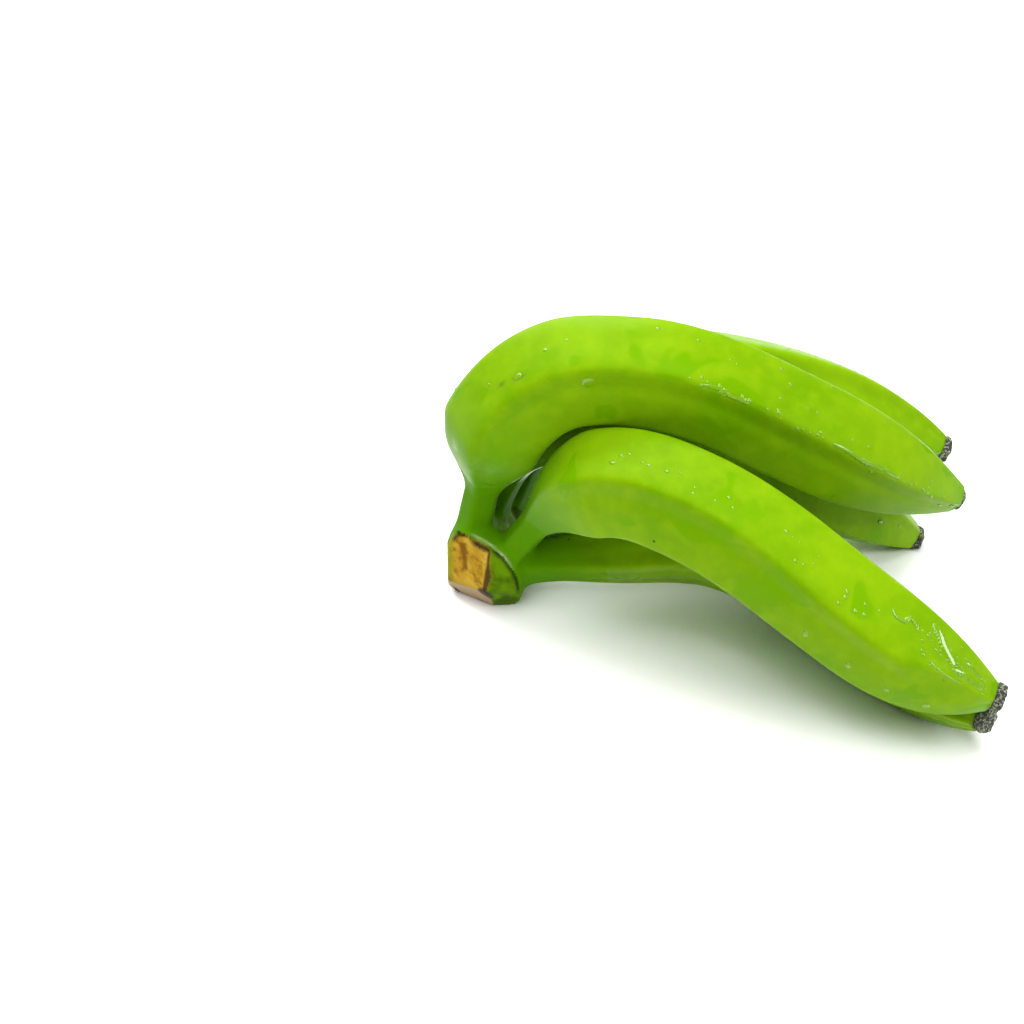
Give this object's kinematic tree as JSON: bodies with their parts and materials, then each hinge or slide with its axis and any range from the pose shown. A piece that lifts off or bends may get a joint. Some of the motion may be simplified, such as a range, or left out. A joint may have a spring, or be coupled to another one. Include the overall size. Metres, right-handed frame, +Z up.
{
  "type": "hand of green plantains",
  "caption": "Hand of long green plantains: curved, softly ridged fingers on thin necks fan out of one cut crown and lie on a table, each tip with its dried flower end.",
  "frame": {"origin": "middle of the bounding box, on the table", "axes": "+X from the crown towards the tips, +Y away from the viewer of the picture, +Z up"},
  "size_m": [0.2121, 0.1864, 0.1256],
  "materials": {
    "peel": "smooth waxy lime-green peel with a soft sheen, wet in places",
    "crown_skin": "green stalk skin, with dry yellow-brown knife cuts",
    "dried_flower": "dry, ragged and grey-black"
  },
  "bodies": {
    "root": {"crown": "crown_skin", "finger_top": "peel", "finger_inner": "peel", "finger_back": "peel", "finger_front": "peel", "finger_under": "peel", "dried_end_top": "dried_flower", "dried_end_inner": "dried_flower", "dried_end_back": "dried_flower", "dried_end_front": "dried_flower", "dried_end_under": "dried_flower"}
  },
  "joints": []
}
